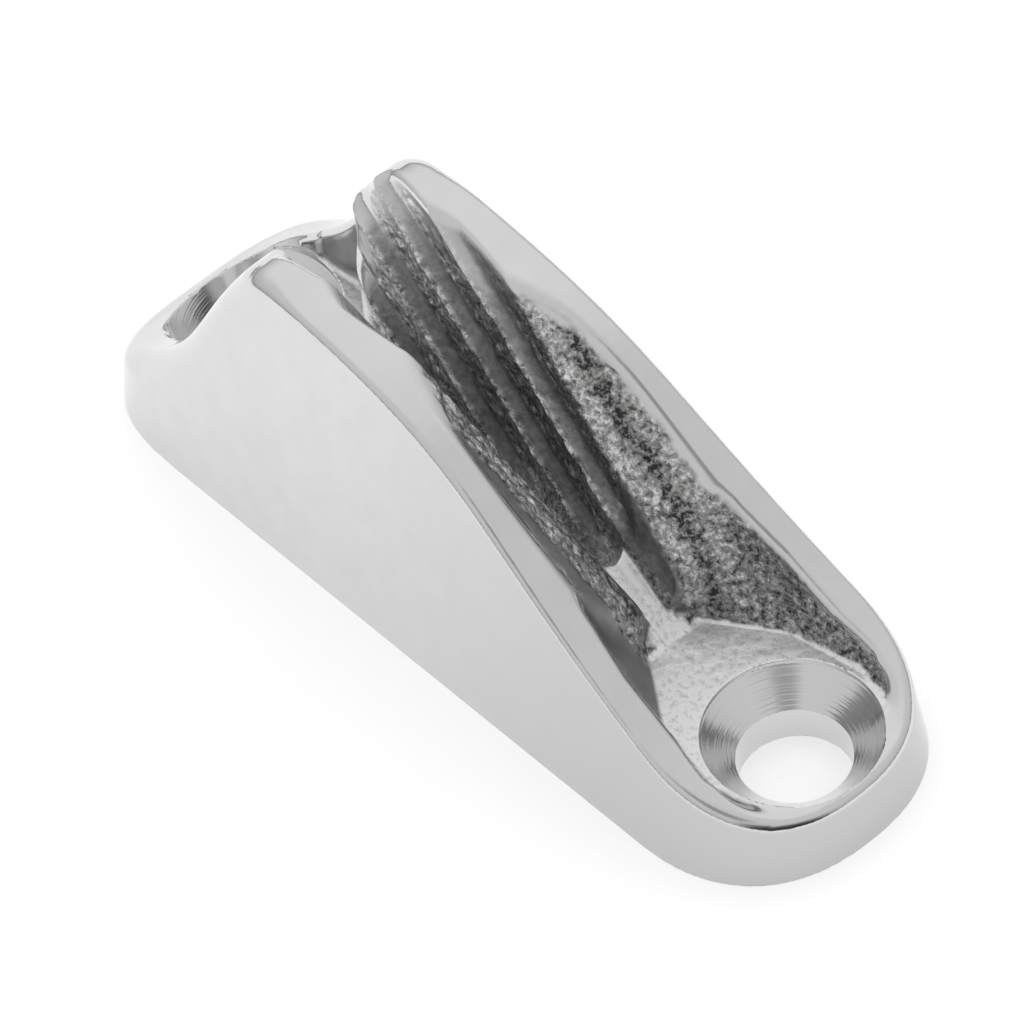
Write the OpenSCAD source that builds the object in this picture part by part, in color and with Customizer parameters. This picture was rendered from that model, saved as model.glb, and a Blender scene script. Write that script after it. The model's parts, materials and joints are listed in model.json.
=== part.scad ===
// V-groove rope cleat for a small boat: one casting in polished stainless steel.
// Origin: middle of the flat underside. +X: front end, where the ramp and the wide
// mouth lead the rope out. +Z: up, away from the deck. Millimetres.

/* [Body] */
// Length of the footprint
body_l = 55.5; // [55.5:0.5:60]
// Width of the footprint
body_w = 17.5; // [17:0.5:20]
// Height of the jaws above the deck
body_h = 19.7; // [18.7:0.1:20.7]
// Inward lean of the outer walls, degrees from vertical
wall_draft = 7; // [5:0.5:7.5]
// Corner radius of the footprint at the front end
front_corner_r = 7; // [6:0.5:8]
// Corner radius of the footprint at the rear end
rear_corner_r = 6; // [5:0.5:8]
// Height of the flat boss round each screw
boss_h = 4.3; // [4:0.1:4.6]

/* [Screw holes] */
// Distance between the two screw holes
hole_spacing = 44; // [42:0.5:44]
// Diameter of the clear hole
hole_d = 6.4; // [5.2:0.1:6.6]
// Diameter of the countersink at the top of the boss
csk_d = 10; // [9:0.1:10.2]
// Width of the flat seat between a countersink and the rim round it
seat_margin = 0.6; // [0.4:0.1:0.8]

/* [Rope channel] */
// Width of the groove between the jaws at their full height
throat_w = 7.2; // [6.6:0.1:7.6]
// Width at the bottom of the groove
throat_floor_w = 0.6; // [0.4:0.1:1]
// Height of the bottom of the groove above the deck
throat_floor_h = 5; // [4.8:0.1:6]
// Width between the side walls of the front mouth
mouth_w = 10.8; // [10:0.1:11]
// Steepness of the mouth's V, degrees below horizontal
mouth_slope = 40.8; // [38:0.2:44]
// Width of the ramp that leads the rope out of the groove
ramp_w = 1.7; // [1:0.1:2.4]

/* [Teeth] */
// Downhill slope of the teeth and the ramp, degrees below horizontal
tooth_slope = 33.7; // [31:0.1:36]
// Distance from one tooth's crest to the next, measured straight up
tooth_pitch = 3.9; // [3.6:0.1:4.2]
// Depth of the cut between two teeth
tooth_depth = 0.8; // [0.4:0.1:1]
// Number of cuts between teeth in each jaw
tooth_count = 5; // [3:1:5]

/* [Hidden] */
eps = 0.01;
// How far a cut runs on past the surface that it opens
clear = 1;
far = 60;
arc_fn = 96;
curve_steps = 24;

front_x = body_l / 2;
rear_x = -body_l / 2;
lean = tan(wall_draft);

hole_x = hole_spacing / 2;
csk_depth = (csk_d - hole_d) / 2;
seat_r = csk_d / 2 + seat_margin;

// The side view: the rear rim rises into the jaws' steep rear edge, which ends under the
// peak, and the long front slope comes down to the front rim
rear_foot = [rear_x + 1.55, boss_h - 0.9];
rear_shoulder = [rear_x + 14.6, body_h - 0.4];
peak = [rear_x + 15.7, body_h];
front_foot = [front_x - 2, boss_h];
// How far each end of the side view's two curves is drawn along before it turns
rear_foot_pull = [8.75, 5.5];
rear_shoulder_pull = [-6.2, -7.95];
peak_pull = [21, -1.5];
front_foot_pull = [-23.5, 9.7];
// Height of the end walls, and how far in the front one is rounded over to the boss
front_wall_h = boss_h - 1.2;
front_round_l = 0.9;
rear_wall_h = boss_h - 1.7;

// The groove's walls spread by this much on each side for each millimetre of height
throat_spread = (throat_w - throat_floor_w) / 2 / (body_h - throat_floor_h);
throat_lean = atan(throat_spread);
// The ramp and the mouth both pass through this height at mid-length
ramp_h0 = 12.8;
// The mouth's V is cut this much higher than the ramp, which leaves a step beside it
ramp_step = 0.5;
// The groove ends in a step down from the top of the ramp
ramp_top_x = 8;
// Half the opening angle of the mouth's V
mouth_half_angle = 45.6;

// Crest of the highest tooth at mid-length
crest_h0 = 13.3;
// Share of the pitch, from the lower crest up, where a cut is deepest
groove_low = 0.25;

// Plan of the rear exit: the walls spread from the groove out to the pocket
exit_outline = [[-12, 1.2], [-14.4, 2.3], [-15.4, 3.8], [-16.8, 5.4], [-hole_x, 5.4]];

// A point on the cubic curve through four control points
function curve_point(a, b, c, d, t) =
    pow(1 - t, 3) * a + 3 * t * pow(1 - t, 2) * b + 3 * t * t * (1 - t) * c + pow(t, 3) * d;

// Cubic curve from a to d, which leaves a along a_pull and reaches d from d_pull's side
function curve(a, a_pull, d_pull, d) = [
    for (i = [0 : curve_steps])
        curve_point(a, a + a_pull, d + d_pull, d, i / curve_steps)
];

// Outline of the side view
module side_outline() {
    polygon(concat(
        [[rear_x, 0], [rear_x, rear_wall_h]],
        curve(rear_foot, rear_foot_pull, rear_shoulder_pull, rear_shoulder),
        curve(peak, peak_pull, front_foot_pull, front_foot),
        [[front_x - front_round_l, boss_h], [front_x, front_wall_h], [front_x, 0]]
    ));
}

// Extrudes a section drawn in Y and Z along X, from x0 to x1
module along_x(x0, x1) {
    translate([x0, 0, 0])
        rotate([90, 0, 90])
            linear_extrude(x1 - x0)
                children();
}

// Section whose two sides lean in by the wall's draft
module leaning_section(wid) {
    polygon([
        [-wid / 2, 0],
        [wid / 2, 0],
        [wid / 2 - lean * body_h, body_h],
        [-wid / 2 + lean * body_h, body_h]
    ]);
}

// One end of the casting, from mid-length out, with its two rounded corners
module leaning_end(corner_r) {
    corner_x = body_l / 2 - corner_r;
    corner_y = body_w / 2 - corner_r;
    along_x(0, corner_x)
        leaning_section(body_w);
    intersection() {
        rotate([0, 0, 90])
            along_x(-corner_y, corner_y)
                leaning_section(body_l);
        translate([0, -far / 2, 0])
            cube(far);
    }
    for (side = [-1, 1])
        translate([corner_x, side * corner_y, 0])
            cylinder(h = body_h, r1 = corner_r, r2 = corner_r - lean * body_h, $fn = arc_fn);
}

// The solid casting before anything is cut out of it
module outer_shape() {
    intersection() {
        union() {
            leaning_end(front_corner_r);
            rotate([0, 0, 180])
                leaning_end(rear_corner_r);
        }
        rotate([90, 0, 0])
            translate([0, 0, -far / 2])
                linear_extrude(far)
                    side_outline();
    }
}

// V groove that jams the rope, level along X
module throat() {
    above = body_h + clear;
    floor_y = throat_floor_w / 2;
    top_y = floor_y + throat_spread * (above - throat_floor_h);
    along_x(-hole_x, ramp_top_x)
        polygon([
            [-floor_y, throat_floor_h],
            [floor_y, throat_floor_h],
            [top_y, above],
            [-top_y, above]
        ]);
}

// Tilts a shape so that its X runs downhill through height h at mid-length
module downhill(slope, h) {
    translate([0, 0, h])
        rotate([0, slope, 0])
            children();
}

// Everything above the boss plane, for cuts that stop at the boss
module above_boss() {
    translate([-far / 2, -far / 2, boss_h])
        cube(far);
}

// Front mouth: a wide V with upright side walls, and the ramp along its floor
module mouth() {
    half_w = mouth_w / 2;
    rise = half_w / tan(mouth_half_angle);
    intersection() {
        above_boss();
        union() {
            intersection() {
                downhill(mouth_slope, ramp_h0)
                    along_x(-far, far)
                        polygon([
                            [0, 0],
                            [half_w, rise],
                            [half_w, far],
                            [-half_w, far],
                            [-half_w, rise]
                        ]);
                downhill(tooth_slope, ramp_h0 + ramp_step)
                    translate([-far, -far / 2, 0])
                        cube([2 * far, far, far]);
            }
            downhill(tooth_slope, ramp_h0)
                translate([0, -ramp_w / 2, 0])
                    cube([far, ramp_w, far]);
        }
    }
}

// The cuts between the teeth of one jaw, down along the throat's wall to the front. Each
// is a wedge that meets the wall at two crests, and is steeper just above the lower one
module tooth_grooves(side) {
    pitch = tooth_pitch * cos(tooth_slope);
    for (i = [0 : tooth_count - 1])
        translate([0, side * throat_floor_w / 2, throat_floor_h])
            rotate([-side * throat_lean, 0, 0])
                downhill(tooth_slope, crest_h0 - throat_floor_h - i * tooth_pitch)
                    along_x(-far / 2, far / 2)
                        polygon([
                            [-side * tooth_depth, -groove_low * pitch],
                            [side * tooth_depth, groove_low * pitch],
                            [-side * tooth_depth, (2 - groove_low) * pitch]
                        ]);
}

// All the cuts between the teeth, kept inside the jaws and above the throat's bottom
module teeth() {
    intersection() {
        translate([exit_outline[0][0], -mouth_w / 2, throat_floor_h])
            cube([ramp_top_x - exit_outline[0][0], mouth_w, far]);
        for (side = [-1, 1])
            tooth_grooves(side);
    }
}

// Rear exit, down to the boss
module rear_exit() {
    mirrored = [for (i = [len(exit_outline) - 1 : -1 : 0]) [exit_outline[i][0], -exit_outline[i][1]]];
    translate([0, 0, boss_h])
        linear_extrude(far)
            polygon(concat(exit_outline, mirrored));
}

// Seat and countersunk hole for the front screw
module screw_hole() {
    translate([hole_x, 0, 0]) {
        translate([0, 0, boss_h])
            cylinder(h = far, r = seat_r, $fn = arc_fn);
        translate([0, 0, -clear])
            cylinder(h = boss_h + 2 * clear, d = hole_d, $fn = arc_fn);
        translate([0, 0, boss_h - csk_depth])
            cylinder(h = csk_depth + eps, d1 = hole_d, d2 = csk_d + 2 * eps, $fn = arc_fn);
    }
}

module cleat_body() {
    color("silver")
        difference() {
            outer_shape();
            throat();
            teeth();
            mouth();
            rear_exit();
            screw_hole();
            mirror([1, 0, 0])
                screw_hole();
        }
}

cleat_body();
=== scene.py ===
"""Looks of a small V-groove rope cleat: one casting in polished stainless steel.

The casting is modelled as a distance field in millimetres, in the row frame, from rounded
cuts in a rounded body. It is turned into a mesh, and its as-cast surfaces get a real grain.
"""
import itertools
import json
import math

import bpy
import numpy as np
from mathutils import Matrix, Vector


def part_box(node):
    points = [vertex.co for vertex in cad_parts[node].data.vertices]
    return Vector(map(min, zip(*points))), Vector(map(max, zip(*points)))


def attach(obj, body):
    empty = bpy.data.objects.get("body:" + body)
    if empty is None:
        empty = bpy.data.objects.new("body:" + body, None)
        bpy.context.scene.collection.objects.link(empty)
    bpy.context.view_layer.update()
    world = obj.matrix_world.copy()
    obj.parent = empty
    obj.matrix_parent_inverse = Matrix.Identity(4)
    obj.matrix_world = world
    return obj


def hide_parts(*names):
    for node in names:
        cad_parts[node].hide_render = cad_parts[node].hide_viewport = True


MM = 0.001

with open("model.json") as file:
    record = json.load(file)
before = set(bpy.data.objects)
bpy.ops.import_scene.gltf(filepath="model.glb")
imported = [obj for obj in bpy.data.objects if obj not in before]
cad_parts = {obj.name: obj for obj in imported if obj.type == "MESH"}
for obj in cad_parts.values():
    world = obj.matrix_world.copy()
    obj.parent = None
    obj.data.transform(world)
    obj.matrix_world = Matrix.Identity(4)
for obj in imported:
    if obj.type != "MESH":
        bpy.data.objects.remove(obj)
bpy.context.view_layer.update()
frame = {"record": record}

# ---------------------------------------------------------------- sizes from the frame
low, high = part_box("cleat_body")
LENGTH, WIDTH, HEIGHT = ((high[i] - low[i]) / MM for i in range(3))
MOUNTS = {m["name"]: m for m in frame["record"]["mounts"]}
FRONT_HOLE = MOUNTS["front_screw_hole"]
HOLE_X = FRONT_HOLE["pos_m"][0] / MM
HOLE_R = FRONT_HOLE["dims"]["r_mm"]
CONE_FOOT = FRONT_HOLE["dims"]["length_mm"]

# ---------------------------------------------------------------- the casting, millimetres
BOSS_H = 4.3
DRAFT = math.tan(math.radians(7))

# Countersink and the small upright lip at its top, and the flat seats round the screws
CSK_R = 5.0
CSK_LIP = 0.25
FRONT_SEAT_R = 5.9
REAR_SEAT_R = 5.15

# Plan of the two ends: how far each one's rounding reaches in, and how square it is
FRONT_NOSE, FRONT_POWER = 8.9, 2.33
REAR_NOSE, REAR_POWER = 9.7, 3.3

# Side view: a cubic curve up the jaws' rear edge and one down their front slope
REAR_CURVE = [(-26.2, 3.4), (-17.45, 8.9), (-19.35, 11.35), (-13.0, 19.6)]
FRONT_CURVE = [(-12.05, 19.7), (8.95, 18.2), (2.25, 14.0), (25.75, 4.3)]

# How rounded the casting's edges are: over the peak, and between the lands and the channel
PEAK_ROUND = 1.5
LAND_ROUND = 0.5

# Rope groove: height of its bottom, half its width there, and how fast its walls spread
THROAT_FLOOR = 5.0
THROAT_HALF = 0.3
THROAT_SPREAD = 0.2245
THROAT_START, THROAT_END = -24.0, 7.4

# Teeth: lines of equal z + slope * x, each groove deepest just above the lower crest
TOOTH_SLOPE = 0.667
CREST = 13.2
PITCH = 3.8
TOOTH_DEPTH = 0.55
TOOTH_LOW = 0.28

# Mouth's tilted faces, |y| = a + b * x + c * z. The last two are where the lower face starts,
# high up beside the land and down at the boss
UPPER_FACE = (-13.75, 0.641, 1.027)
LOWER_FACE = (-9.24, 0.667, 0.62)
LOWER_END = (-55.75, 3.66, 1.7)
LOWER_FOOT = (-20.1, 1.8, 0.0)

# Mouth's steep side walls: half width between them at the land along x, and their lean
SIDE_WALL = [
    (2.0, 5.05), (5.7, 5.25), (9.7, 5.3), (11.0, 5.32), (13.0, 5.46), (15.7, 5.85), (22.0, 6.0),
]
SIDE_LEAN = 0.28

# Ramp: its climb, where it starts, its half width along x, and how fast its banks spread
RAMP = 12.8
RAMP_START = 5.5
RAMP_HALF = [(8.0, 0.85), (12.0, 0.65)]
BANK = [(8.0, 0.42), (12.0, 0.27)]

# |y| along x of the ridge where each upper face meets the bank beside the ramp
RIDGE = [(-2.0, 3.41), (2.0, 2.83), (6.0, 2.32), (8.0, 2.28), (10.0, 1.91), (12.0, 1.6)]

# |y| along x beyond which the near side's face is smooth and dark
SMOOTH_EDGE = [(2.0, 4.4), (4.0, 4.15), (7.0, 4.0), (9.0, 3.75), (12.5, 3.4), (14.5, 0.5)]

# Rear exit: half width of the opening along x
EXIT = [
    (-23.0, 5.1), (-22.0, 5.15), (-20.5, 5.55), (-19.0, 5.75), (-17.6, 5.5),
    (-16.4, 4.8), (-15.6, 3.5), (-15.1, 2.4), (-13.5, 1.6), (-11.0, 0.0),
]


def cubic(points, steps=40):
    """Points of the cubic curve through four control points."""
    t = np.linspace(0, 1, steps)[:, None]
    a, b, c, d = (np.array(p, float) for p in points)
    return (1 - t) ** 3 * a + 3 * t * (1 - t) ** 2 * b + 3 * t * t * (1 - t) * c + t**3 * d


REAR_SLOPE = np.vstack([[(-40, -4.0)], cubic(REAR_CURVE), [(-10.0, 24.2)]])
FRONT_SLOPE = np.vstack([[(-20, 20.3)], cubic(FRONT_CURVE), [(26.8, 4.0), (40, 0.0)]])


def along(table, x):
    """Value at x of a line through the table's points."""
    t = np.array(table, float)
    return np.interp(x, t[:, 0], t[:, 1])


def eased(table, reach):
    """The table's line with its corners eased over that much of x."""
    x = np.arange(table[0][0], table[-1][0], 0.1)
    shifts = np.linspace(-reach, reach, 9)
    return np.column_stack([x, np.mean([along(table, x + shift) for shift in shifts], 0)])


EXIT_CURVE = eased(EXIT, 0.7)


def round_max(a, b, r):
    """Distance to what is inside both a and b, its edge rounded to radius r."""
    return np.minimum(np.maximum(a, b), -r) + np.hypot(np.maximum(a + r, 0), np.maximum(b + r, 0))


def round_min(a, b, r):
    """Distance to what is inside a or b, its inner corner rounded to radius r."""
    return -round_max(-a, -b, r)


def step(a, b, x):
    """0 below a, 1 above b, smooth between them."""
    t = np.clip((x - a) / (b - a), 0, 1)
    return t * t * (3 - 2 * t)


def within(x, rise, fall):
    """0 to 1 over the first span of x, then 1, and 1 to 0 over the second span."""
    return step(*rise, x) * step(*fall[::-1], x)


def climb(x, z):
    """Height at which the teeth's slope through a point passes mid-length."""
    return z + TOOTH_SLOPE * x


def tooth_phase(x, z):
    """How far a point is from the crest below it to the next one up, 0 to 1."""
    return np.mod((climb(x, z) - CREST) / PITCH, 1)


def plan_distance(x, y):
    """Distance to the footprint's outline, with its two superelliptic ends."""
    half = WIDTH / 2
    ay = np.abs(y)
    ends = []
    for sign, nose, power in ((1, FRONT_NOSE, FRONT_POWER), (-1, REAR_NOSE, REAR_POWER)):
        u = np.maximum(sign * x - (LENGTH / 2 - nose), 0) / nose
        v = ay / half
        g = np.maximum(u**power + v**power, 1e-9) ** (1 / power)
        gx = (u / g) ** (power - 1) / nose
        gy = (v / g) ** (power - 1) / half
        ends.append((g - 1) / np.hypot(gx, np.maximum(gy, 1e-6)))
    return np.where(x > 0, ends[0], ends[1])


def under(curve, x, z):
    """Distance above a side-view curve, negative under it."""
    middle = (curve[1:, 0] + curve[:-1, 0]) / 2
    slope = np.interp(x, middle, np.diff(curve[:, 1]) / np.diff(curve[:, 0]))
    return (z - np.interp(x, curve[:, 0], curve[:, 1])) / np.hypot(1, slope)


def top_side(x, y, z):
    """Distance above the jaws' tops and the rims, which are slightly crowned across."""
    crown = (0.25 + 0.35 * step(12, 0, x)) * (0.5 - (y / 6.5) ** 2)
    crown = crown * within(x, (-24, -18), (18, 26))
    return round_max(under(REAR_SLOPE, x, z), under(FRONT_SLOPE, x, z - crown), PEAK_ROUND)


def outer(x, y, z):
    """The casting before anything is cut out of it, its top edge softest round the jaws' rear."""
    wall = (plan_distance(x, y) + DRAFT * z) / math.hypot(1, DRAFT)
    edge = 0.3 + 0.2 * step(18, 23, x) + 0.1 * step(18, 4, x)
    edge = edge + 0.9 * step(-8, -14, x) - 0.7 * step(-22, -26, x)
    return round_max(wall, top_side(x, y, z), edge)


def teeth_depth(x, z):
    """How far the teeth's grooves are cut into the groove's walls."""
    phase = tooth_phase(x, z)
    saw = np.minimum(phase / TOOTH_LOW, (1 - phase) / (1 - TOOTH_LOW))
    return TOOTH_DEPTH * (1 - (1 - saw) ** 1.6)


def throat(x, y, z):
    """V groove with teeth on its walls, and a round end under the top of the ramp."""
    half = THROAT_HALF + THROAT_SPREAD * (z - THROAT_FLOOR)
    half = half + teeth_depth(x, z) * step(5.4, 7.4, z)
    wall = (np.hypot(np.maximum(x - THROAT_END, 0), y) - half) / math.hypot(1, THROAT_SPREAD)
    cut = round_max(wall, THROAT_FLOOR - z, 0.25)
    return np.maximum(cut, THROAT_START - x)


def side_wall(x, y, z):
    """Distance outside the mouth's side walls, which lean in below the land."""
    land = np.interp(x, FRONT_SLOPE[:, 0], FRONT_SLOPE[:, 1])
    half = along(SIDE_WALL, x) - SIDE_LEAN * np.maximum(land - z, 0)
    return (y - half) / math.hypot(1, SIDE_LEAN)


def tilted(face, x, y, z):
    """Distance outside one of the mouth's tilted faces."""
    a, b, c = face
    return (y - (a + b * x + c * z)) / math.sqrt(1 + b * b + c * c)


def mouth(x, y, z):
    """Front mouth: tilted faces, side walls, the ramp, and the flat round the screw."""
    ay = np.sqrt(y * y + 0.04)
    above_ramp = climb(x, z) - RAMP
    lower_end = round_min(tilted(LOWER_END, x, ay, z), tilted(LOWER_FOOT, x, ay, z), 0.5)
    lower = round_max(tilted(LOWER_FACE, x, ay, z), lower_end, 0.4)
    faces = round_min(tilted(UPPER_FACE, x, ay, z), lower, 0.4)
    floor = -above_ramp / math.hypot(1, TOOTH_SLOPE)
    pocket = round_max(round_max(faces, side_wall(x, ay, z), 0.35), floor, 0.1)
    bank = (ay - along(RAMP_HALF, x) - along(BANK, x) * above_ramp) / 1.1
    ramp = np.maximum(round_max(bank, floor, 0.1), RAMP_START - x)
    cut = round_min(pocket, ramp, 0.1)
    cut = round_max(cut, x - HOLE_X, 0.2)
    cut = round_min(cut, np.hypot(x - HOLE_X, y) - FRONT_SEAT_R, 0.6)
    return round_max(cut, BOSS_H - z, 0.15 + 0.7 * step(17, 21, x))


def rear_exit(x, y, z):
    """Open pocket behind the jaws, down to the rear boss."""
    wall = (np.sqrt(y * y + 0.25) - along(EXIT_CURVE, x)) * 0.75
    cut = np.maximum(wall, -HOLE_X - x)
    cut = round_min(cut, np.hypot(x + HOLE_X, y) - REAR_SEAT_R, 0.6)
    return round_max(cut, BOSS_H - z, 0.5)


def screw_hole(x, y, z):
    """Clear hole and turned countersink, with a small upright lip at its top."""
    r = np.hypot(np.abs(x) - HOLE_X, y)
    cone = np.maximum((r - HOLE_R - (z - CONE_FOOT + CSK_LIP)) / math.sqrt(2), r - CSK_R)
    return np.minimum(r - HOLE_R, cone)


def smooth_casting(p):
    """Signed distance to the casting without its grain, negative inside the metal."""
    x, y, z = p[..., 0], p[..., 1], p[..., 2]
    channel = round_min(throat(x, y, z), mouth(x, y, z), 0.2)
    channel = round_min(channel, rear_exit(x, y, z), 0.4)
    f = round_max(outer(x, y, z), -channel, LAND_ROUND)
    f = round_max(f, -screw_hole(x, y, z), 0.05)
    return round_max(f, -z, 0.08)


# ---------------------------------------------------------------- grain of the as-cast metal
LATTICE_SIZE = 48
LATTICE = np.random.default_rng(7).random((LATTICE_SIZE, LATTICE_SIZE, LATTICE_SIZE))


def noise(p, size):
    """Smooth noise from -1 to 1 whose lumps are about size millimetres across."""
    off_lattice = 100.37
    q = p / size + off_lattice
    i = np.floor(q).astype(int)
    f = q - i
    f = f * f * (3 - 2 * f)
    total = 0
    for corner in itertools.product((0, 1), repeat=3):
        share = 1
        for axis, far in enumerate(corner):
            share = share * (f[..., axis] if far else 1 - f[..., axis])
        at = tuple((i[..., axis] + corner[axis]) % LATTICE_SIZE for axis in range(3))
        total = total + share * LATTICE[at]
    return 2 * total - 1


def on_face(p):
    """1 on the mouth's tilted faces, above the ramp."""
    x, z = p[..., 0], p[..., 2]
    high = step(13.2, 13.8, climb(x, z)) * step(4.5, 5.2, z)
    return within(x, (-2.5, 0.0), (13.0, 17.0)) * high


def cast_share(p):
    """1 on the rough walls of the channel, 0 on the polished outside and where wear reached."""
    x, y, z = p[..., 0], p[..., 1], p[..., 2]
    depth = -outer(x, y, z) + 0.2 * noise(p, 1.1) + 0.1 * noise(p, 0.4)
    inside = np.minimum(np.minimum(throat(x, y, z), mouth(x, y, z)), rear_exit(x, y, z))
    upper_throat = 0.75 * step(4.5, 0.8, depth + 0.5 * noise(p, 0.8)) * step(0.0, -5.0, x)
    jaw_ends = step(-12.6, -14.2, x + 0.3 * noise(p, 0.9))
    worn = np.maximum(upper_throat * (1 - on_face(p)), jaw_ends)
    pocket = within(x, (-24.8, -21.0), (-18.0, -16.0))
    share = np.maximum(1 - worn, pocket)
    return share * step(0.35, 0.7, depth) * step(0.5, 0.25, inside) * step(0.5, 0.9, z)


def floor_share(p):
    """1 on the bosses and the ramp, which came out of the mould smoother."""
    x, y, z = p[..., 0], p[..., 1], p[..., 2]
    boss = step(4.46, 4.34, z)
    ramp = step(13.0, 12.9, climb(x, z)) * step(7.0, 7.6, x) * step(1.0, 0.85, np.abs(y))
    foot = step(11.8, 12.2, x) * step(5.2, 4.9, z) * step(1.3, 1.0, np.abs(y))
    return np.maximum(np.maximum(boss, ramp), foot)


def dull_share(p):
    """1 where the casting is smooth and dark: the steep sides of the teeth, the near side's
    upper edge, the banks of the ramp, and the rear pocket."""
    x, y, z = p[..., 0], p[..., 1], p[..., 2]
    ay = np.abs(y)
    wall = throat(x, y, z)
    on_tooth = within(tooth_phase(x, z), (0.02, 0.08), (TOOTH_LOW, TOOTH_LOW + 0.12))
    on_tooth = on_tooth * within(wall, (-0.9, -0.5), (0.3, 0.6)) * step(5.4, 7.0, z) * step(8, 6, x)
    edge = along(SMOOTH_EDGE, x) + 0.15 * noise(p, 0.7)
    near = step(edge - 0.1, edge + 0.15, -y) * step(1.0, 2.5, x)
    ridge = along(RIDGE, x)
    bank = step(ridge, ridge - 0.25, ay) * step(0.9, 1.1, ay) * within(x, (6.5, 7.5), (12.0, 12.6))
    pocket = step(-15.5, -16.5, x)
    return np.maximum.reduce([0.8 * on_tooth, near, 0.8 * bank, pocket])


def line(y, middle, half_width):
    """1 on a line along the mouth's face, falling to 0 on either side of it."""
    return np.exp(-((y - middle) / half_width) ** 2)


def painted_highlight_bands(p):
    """Painted highlights as lighter bands along the mouth's faces and in the groove, and painted
    shade as darker ones, about -1 to 1.
    """
    x, y, z = p[..., 0], p[..., 1], p[..., 2]
    ridge = along(RIDGE, x)
    far = 0.9 * line(y, ridge + 0.45, 0.45) - line(y, ridge + 1.35, 0.4)
    far = far + 0.4 * line(y, ridge + 2.4, 0.5)
    near = 1.2 * line(-y, along(SMOOTH_EDGE, x) - 0.75, 0.55) * step(13.0, 11.0, x)
    in_groove = step(0.5, 0.1, throat(x, y, z)) * step(9.0, 7.0, x)
    return on_face(p) * (near + far) * (1 - in_groove) + 0.8 * in_groove


def turned_share(p):
    """1 in the countersinks and holes, which are turned."""
    x, y, z = p[..., 0], p[..., 1], p[..., 2]
    return step(0.12, 0.03, np.abs(screw_hole(x, y, z)))


def grain(p):
    """Height of the as-cast grain, millimetres."""
    share = cast_share(p) * (1 - turned_share(p)) * (1 - 0.85 * dull_share(p))
    share = share * (1 - 0.8 * floor_share(p))
    lumps = 0.06 * noise(p, 0.9) + 0.08 * noise(p, 0.45)
    return share * lumps


def casting(p):
    """Signed distance to the casting with its grain."""
    return smooth_casting(p) - grain(p)


# ---------------------------------------------------------------- distance field to mesh
GRID_SPACING = 0.14
MOST_TRIANGLES = 190000


def gradient(field, p, reach=0.01):
    """Direction in which the field grows fastest at each point."""
    g = np.empty_like(p)
    for axis in range(3):
        d = np.zeros(3)
        d[axis] = reach
        g[:, axis] = field(p + d) - field(p - d)
    return g / np.maximum(np.linalg.norm(g, axis=1), 1e-12)[:, None]


def sampled(field, axes):
    """The field's values at every corner of the grid."""
    values = np.empty([len(a) for a in axes], np.float32)
    slab = 24
    for i in range(0, len(axes[0]), slab):
        p = np.stack(np.meshgrid(axes[0][i:i + slab], axes[1], axes[2], indexing="ij"), -1)
        values[i:i + slab] = field(p)
    return values


def contour(field, axes):
    """Dual contouring: the field's zero surface as points and quads, with crisp edges kept."""
    values = sampled(field, axes)
    inside = values < 0
    shape = values.shape
    points, normals, quads = [], [], []
    for axis in range(3):
        b, c = (axis + 1) % 3, (axis + 2) % 3
        a0 = np.take(inside, range(shape[axis] - 1), axis)
        a1 = np.take(inside, range(1, shape[axis]), axis)
        ijk = np.argwhere(a0 != a1)
        for k in (b, c):
            ijk = ijk[(ijk[:, k] > 0) & (ijk[:, k] < shape[k] - 1)]
        far = ijk.copy()
        far[:, axis] += 1
        p0 = np.stack([axes[k][ijk[:, k]] for k in range(3)], -1)
        p1 = np.stack([axes[k][far[:, k]] for k in range(3)], -1)
        f0, f1 = values[tuple(ijk.T)], values[tuple(far.T)]
        t0, t1 = np.zeros(len(ijk)), np.ones(len(ijk))
        t = f0 / (f0 - f1)
        for _ in range(3):
            f = field(p0 + (p1 - p0) * t[:, None])
            same = (f < 0) == (f0 < 0)
            t0, f0 = np.where(same, t, t0), np.where(same, f, f0)
            t1, f1 = np.where(same, t1, t), np.where(same, f1, f)
            t = t0 + (t1 - t0) * np.clip(f0 / (f0 - f1), 0.05, 0.95)
        crossing = p0 + (p1 - p0) * t[:, None]
        ring = []
        for db, dc in ((0, 0), (-1, 0), (-1, -1), (0, -1)):
            cell = ijk.copy()
            cell[:, b] += db
            cell[:, c] += dc
            ring.append(np.ravel_multi_index(tuple(cell.T), shape))
        ring = np.stack(ring, 1)
        quads.append(np.where((values[tuple(ijk.T)] < 0)[:, None], ring, ring[:, ::-1]))
        points.append(crossing)
        normals.append(gradient(field, crossing))
    quads, points, normals = np.vstack(quads), np.vstack(points), np.vstack(normals)
    used, where = np.unique(quads, return_inverse=True)
    where = where.reshape(quads.shape)
    count = np.bincount(where.ravel(), minlength=len(used))
    total = [np.bincount(where.ravel(), np.repeat(points[:, k], 4), len(used)) for k in range(3)]
    middle = np.stack(total, 1) / count[:, None]
    pull_to_middle = 0.05
    matrix = np.tile(np.eye(3) * pull_to_middle, (len(used), 1, 1))
    target = np.zeros((len(used), 3))
    for corner in range(4):
        cell = where[:, corner]
        offset = ((points - middle[cell]) * normals).sum(1)
        for i in range(3):
            target[:, i] += np.bincount(cell, normals[:, i] * offset, len(used))
            for j in range(3):
                matrix[:, i, j] += np.bincount(cell, normals[:, i] * normals[:, j], len(used))
    shift = np.linalg.solve(matrix, target[..., None])[..., 0]
    reach = axes[0][1] - axes[0][0]
    vertices = middle + np.clip(shift, -reach, reach)
    return vertices, where


def grid_axes(spacing):
    """Even grid over the casting, with half a cell to spare round it."""
    room = 1.5 * spacing
    spans = ((LENGTH / 2, -LENGTH / 2), (WIDTH / 2, -WIDTH / 2), (HEIGHT * 1.03, 0))
    return [np.arange(lo - room, hi + room + spacing, spacing) for hi, lo in spans]


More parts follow.
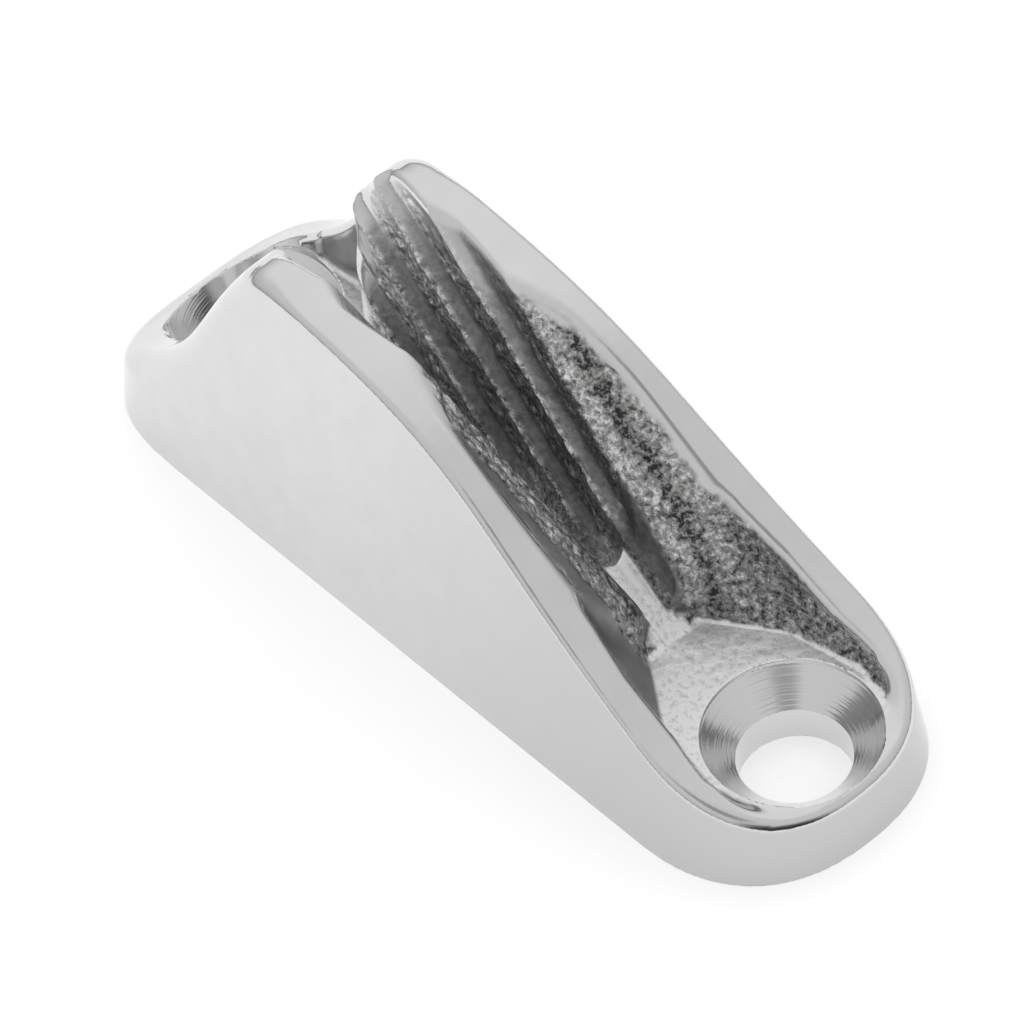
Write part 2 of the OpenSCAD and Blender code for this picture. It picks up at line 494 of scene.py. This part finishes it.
def thin_out(obj, most):
    """Fewer triangles where the surface is flat, until there are at most that many."""
    count = sum(len(f.vertices) - 2 for f in obj.data.polygons)
    modifier = obj.modifiers.new("thin", "DECIMATE")
    modifier.ratio = min(1.0, most / count)
    bpy.context.view_layer.objects.active = obj
    with bpy.context.temp_override(object=obj, active_object=obj, selected_objects=[obj]):
        bpy.ops.object.modifier_apply(modifier=modifier.name)


def point_values(mesh, name, values):
    """Stores a number for each point, for the material to read."""
    attribute = mesh.attributes.new(name, "FLOAT", "POINT")
    attribute.data.foreach_set("value", values.astype(np.float32))


def build_casting():
    """The whole casting as one mesh object in the row frame."""
    spacing = GRID_SPACING
    vertices, faces = contour(smooth_casting, grid_axes(spacing))
    moved = vertices + gradient(smooth_casting, vertices) * grain(vertices)[:, None]
    mesh = bpy.data.meshes.new("cleat_casting")
    mesh.from_pydata((moved * MM).tolist(), [], faces.tolist())
    obj = bpy.data.objects.new("cleat_casting", mesh)
    bpy.context.scene.collection.objects.link(obj)
    thin_out(obj, MOST_TRIANGLES)
    mesh = obj.data
    p = np.empty(len(mesh.vertices) * 3)
    mesh.vertices.foreach_get("co", p)
    p = p.reshape(-1, 3) / MM
    for name, field in (("cast", cast_share), ("floor", floor_share), ("dull", dull_share),
                        ("turned", turned_share), ("painted_highlight_bands", painted_highlight_bands)):
        point_values(mesh, name, field(p))
    point_values(mesh, "ring", np.hypot(np.abs(p[:, 0]) - HOLE_X, p[:, 1]))
    smooth_normals(mesh, p)
    return obj


def smooth_normals(mesh, p):
    """Shading normals from the distance field, looked up just inside each face's corner."""
    corner = np.empty(len(mesh.loops), int)
    mesh.loops.foreach_get("vertex_index", corner)
    sizes = np.array([len(f.vertices) for f in mesh.polygons])
    owner = np.repeat(np.arange(len(sizes)), sizes)
    centre = np.stack([np.bincount(owner, p[corner, k]) for k in range(3)], 1) / sizes[:, None]
    look = p[corner] + (centre[owner] - p[corner]) * 0.3
    n = gradient(casting, look)
    mesh.polygons.foreach_set("use_smooth", np.ones(len(sizes), bool))
    mesh.normals_split_custom_set(n.tolist())


# ---------------------------------------------------------------- material
# Greys of the steel, as stops along the noise that mixes them: the polished outside, a painted
# shade darkening its steep walls towards the front, the as-cast walls, their smooth dark parts, and
# the floors
POLISHED_TONE = [(0.3, (0.66, 0.66, 0.665, 1)), (0.7, (0.69, 0.69, 0.695, 1))]
# Painted shade: the polished outside's steep walls are darkened towards the front
FRONT_WALL_PAINTED_SHADE = (0.55, 0.55, 0.555, 1)
WALL_TONE = [
    (0.36, 0.05), (0.45, (0.27, 0.27, 0.265, 1)), (0.56, (0.46, 0.46, 0.455, 1)), (0.68, 0.86),
]
DULL_TONE = [(0.3, 0.27), (0.7, 0.37)]
FLOOR_TONE = [(0.36, 0.62), (0.5, 0.83)]
TURNED_TONE = (0.70, 0.70, 0.70, 1)

# How rough each of them is
POLISHED_ROUGH = [(0.3, 0.09), (0.7, 0.14)]
WALL_ROUGH = [(0.38, 0.36), (0.6, 0.20)]
CAST_ROUGH = 0.42
TURNED_ROUGH = 0.14


def steel():
    """Stainless steel: polished outside, grainy where it is as cast, ringed where turned."""
    material = bpy.data.materials.new("stainless_steel")
    material.use_nodes = True
    nodes, links = material.node_tree.nodes, material.node_tree.links
    shader = nodes["Principled BSDF"]
    shader.inputs["Metallic"].default_value = 1.0

    def node(kind, **settings):
        n = nodes.new(kind)
        for key, value in settings.items():
            setattr(n, key, value)
        return n

    def value_of(name):
        return node("ShaderNodeAttribute", attribute_name=name).outputs["Fac"]

    def blend(factor, a, b, kind="FLOAT"):
        n = node("ShaderNodeMix", data_type=kind)
        at_a, at_b, at_result = {"FLOAT": (2, 3, 0), "RGBA": (6, 7, 2)}[kind]
        for index, item in ((0, factor), (at_a, a), (at_b, b)):
            if isinstance(item, (float, tuple)):
                n.inputs[index].default_value = item
            else:
                links.new(item, n.inputs[index])
        return n.outputs[at_result]

    def ramp(source, *stops):
        n = node("ShaderNodeValToRGB")
        while len(n.color_ramp.elements) < len(stops):
            n.color_ramp.elements.new(0.5)
        for element, (at, tone) in zip(n.color_ramp.elements, stops):
            element.position = at
            element.color = tone if isinstance(tone, tuple) else (tone, tone, tone, 1)
        links.new(source, n.inputs["Fac"])
        return n.outputs["Color"]

    place = node("ShaderNodeTexCoord").outputs["Object"]

    def speckle(size, detail=3.0, rough=0.6, twist=0.0):
        n = node("ShaderNodeTexNoise")
        n.inputs["Scale"].default_value = 1 / (size * MM)
        n.inputs["Detail"].default_value = detail
        n.inputs["Roughness"].default_value = rough
        n.inputs["Distortion"].default_value = twist
        links.new(place, n.inputs["Vector"])
        return n.outputs["Fac"]

    def axis_of(vector, axis):
        n = node("ShaderNodeSeparateXYZ")
        links.new(vector, n.inputs[0])
        return n.outputs[axis]

    def between(value, start, end):
        n = node("ShaderNodeMapRange", interpolation_type="SMOOTHSTEP")
        n.inputs["From Min"].default_value = start
        n.inputs["From Max"].default_value = end
        links.new(value, n.inputs["Value"])
        return n.outputs["Result"]

    cast, floor, dull, turned = (value_of(name) for name in ("cast", "floor", "dull", "turned"))
    fine = speckle(0.36, 4.0, 0.65, 0.25)
    broad = speckle(2.2, 2.0)

    # Painted highlight and shade bands nudge the grain noise that picks the as-cast walls' grey
    grain_and_painted_bands = node("ShaderNodeMath", operation="MULTIPLY_ADD")
    links.new(value_of("painted_highlight_bands"), grain_and_painted_bands.inputs[0])
    grain_and_painted_bands.inputs[1].default_value = 0.09
    links.new(fine, grain_and_painted_bands.inputs[2])
    grain_and_painted_bands = grain_and_painted_bands.outputs[0]

    # Painted shade: steep walls of the polished outside turn darker towards the front, as x grows
    painted_front_shade = node("ShaderNodeMath", operation="MULTIPLY")
    upright = axis_of(node("ShaderNodeNewGeometry").outputs["Normal"], "Z")
    links.new(between(axis_of(place, "X"), -10 * MM, 26 * MM), painted_front_shade.inputs[0])
    links.new(between(upright, 0.45, 0.2), painted_front_shade.inputs[1])

    polished_and_painted_shade = blend(painted_front_shade.outputs[0], ramp(broad, *POLISHED_TONE), FRONT_WALL_PAINTED_SHADE, "RGBA")
    cast_tone = blend(dull, ramp(grain_and_painted_bands, *WALL_TONE), ramp(broad, *DULL_TONE), "RGBA")
    cast_tone = blend(floor, cast_tone, ramp(fine, *FLOOR_TONE), "RGBA")
    tone = blend(cast, polished_and_painted_shade, cast_tone, "RGBA")
    links.new(blend(turned, tone, TURNED_TONE, "RGBA"), shader.inputs["Base Color"])

    cast_rough = blend(dull, ramp(grain_and_painted_bands, *WALL_ROUGH), CAST_ROUGH)
    cast_rough = blend(floor, cast_rough, CAST_ROUGH)
    roughness = blend(cast, ramp(broad, *POLISHED_ROUGH), cast_rough)
    links.new(blend(turned, roughness, TURNED_ROUGH), shader.inputs["Roughness"])

    rings = node("ShaderNodeTexNoise", noise_dimensions="1D")
    rings.inputs["Scale"].default_value = 5.0
    rings.inputs["Detail"].default_value = 4.0
    links.new(value_of("ring"), rings.inputs["W"])
    ring_bump = node("ShaderNodeBump")
    ring_bump.inputs["Distance"].default_value = 0.02 * MM
    links.new(blend(turned, 0.0, 0.7), ring_bump.inputs["Strength"])
    links.new(rings.outputs["Fac"], ring_bump.inputs["Height"])

    bump = node("ShaderNodeBump")
    bump.inputs["Distance"].default_value = 0.12 * MM
    cast_bump = blend(floor, blend(dull, 1.0, 0.12), 0.25)
    links.new(blend(turned, blend(cast, 0.0, cast_bump), 0.0), bump.inputs["Strength"])
    links.new(fine, bump.inputs["Height"])
    links.new(ring_bump.outputs["Normal"], bump.inputs["Normal"])
    links.new(bump.outputs["Normal"], shader.inputs["Normal"])
    return material


# ---------------------------------------------------------------- studio
# Radiance of the sky at three heights of its direction
SKY = [(0.03, 0.36), (0.14, 0.62), (0.5, 0.76)]
# Patches of it, each a direction, inner and outer angle, and how bright against the rest:
# the soft light behind the part, the dim side that faces it, and the dark end of the room
PATCHES = [
    ((-0.53, 0.386, 0.757), 10, 55, 1.25),
    ((0.527, -0.386, 0.757), 4, 20, 0.50),
    ((0.966, -0.259, 0.07), 12, 34, 0.08),
]
PAPER_TONE = (0.86, 0.86, 0.86, 1)
PAPER_GLOW = 0.44


def studio():
    """Pale floor just under the part, and a soft sky that lights it all round."""
    floor_mesh = bpy.data.meshes.new("floor")
    size = 1.5
    corners = [(-size, -size, 0), (size, -size, 0), (size, size, 0), (-size, size, 0)]
    floor_mesh.from_pydata(corners, [], [(0, 1, 2, 3)])
    floor = bpy.data.objects.new("floor", floor_mesh)
    floor.location.z = low[2] - 0.02 * MM
    bpy.context.scene.collection.objects.link(floor)
    paper = bpy.data.materials.new("paper")
    paper.use_nodes = True
    shader = paper.node_tree.nodes["Principled BSDF"]
    shader.inputs["Base Color"].default_value = PAPER_TONE
    shader.inputs["Roughness"].default_value = 0.9
    shader.inputs["Specular IOR Level"].default_value = 0.0
    shader.inputs["Emission Color"].default_value = (1, 1, 1, 1)
    shader.inputs["Emission Strength"].default_value = PAPER_GLOW
    floor_mesh.materials.append(paper)

    world = bpy.data.worlds.new("studio")
    bpy.context.scene.world = world
    world.use_nodes = True
    nodes, links = world.node_tree.nodes, world.node_tree.links
    direction = nodes.new("ShaderNodeTexCoord").outputs["Generated"]
    split = nodes.new("ShaderNodeSeparateXYZ")
    links.new(direction, split.inputs[0])
    sky = nodes.new("ShaderNodeValToRGB")
    links.new(split.outputs["Z"], sky.inputs["Fac"])
    sky.color_ramp.elements.new(0.5)
    for element, (height, radiance) in zip(sky.color_ramp.elements, SKY):
        element.position = height
        element.color = (radiance, radiance, radiance, 1)

    def glow(toward, inner, outer, level):
        """A soft round patch of the sky: level inside its inner angle, 1 past its outer one."""
        closeness = nodes.new("ShaderNodeVectorMath")
        closeness.operation = "DOT_PRODUCT"
        links.new(direction, closeness.inputs[0])
        closeness.inputs[1].default_value = Vector(toward).normalized()
        patch = nodes.new("ShaderNodeMapRange")
        patch.interpolation_type = "SMOOTHSTEP"
        patch.inputs["From Min"].default_value = math.cos(math.radians(outer))
        patch.inputs["From Max"].default_value = math.cos(math.radians(inner))
        patch.inputs["To Min"].default_value = 1.0
        patch.inputs["To Max"].default_value = level
        links.new(closeness.outputs["Value"], patch.inputs["Value"])
        return patch.outputs["Result"]

    strength = nodes["Background"].inputs["Strength"]
    for patch in PATCHES:
        product = nodes.new("ShaderNodeMath")
        product.operation = "MULTIPLY"
        product.inputs[1].default_value = 1.0
        links.new(glow(*patch), product.inputs[0])
        links.new(product.outputs[0], strength)
        strength = product.inputs[1]
    links.new(sky.outputs["Color"], nodes["Background"].inputs["Color"])


# ---------------------------------------------------------------- camera
VIEW_AZIMUTH, VIEW_ELEVATION, VIEW_ROLL = 53.8, 49.2, -7.8
VIEW_DISTANCE = 0.4615
AIM = Vector((-0.4 * MM, 0, BOSS_H * MM))
SENSOR, LENS = 36, 296


def camera():
    """Long lens from the front right corner, aimed at the middle of the part."""
    az, el, roll = (math.radians(a) for a in (VIEW_AZIMUTH, VIEW_ELEVATION, VIEW_ROLL))
    back = Vector((math.sin(az) * math.cos(el), -math.cos(az) * math.cos(el), math.sin(el)))
    right = Vector((math.cos(az), math.sin(az), 0))
    turn = Matrix((right, back.cross(right), back)).transposed() @ Matrix.Rotation(roll, 3, "Z")
    data = bpy.data.cameras.new("camera")
    data.lens = LENS
    data.sensor_width = SENSOR
    data.clip_start = 0.01
    obj = bpy.data.objects.new("camera", data)
    obj.matrix_world = Matrix.Translation(AIM + back * VIEW_DISTANCE) @ turn.to_4x4()
    bpy.context.scene.collection.objects.link(obj)
    bpy.context.scene.camera = obj


casting_obj = build_casting()
casting_obj.data.materials.append(steel())
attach(casting_obj, "root")
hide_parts("cleat_body")
studio()
camera()
bpy.context.scene.view_settings.view_transform = "Standard"
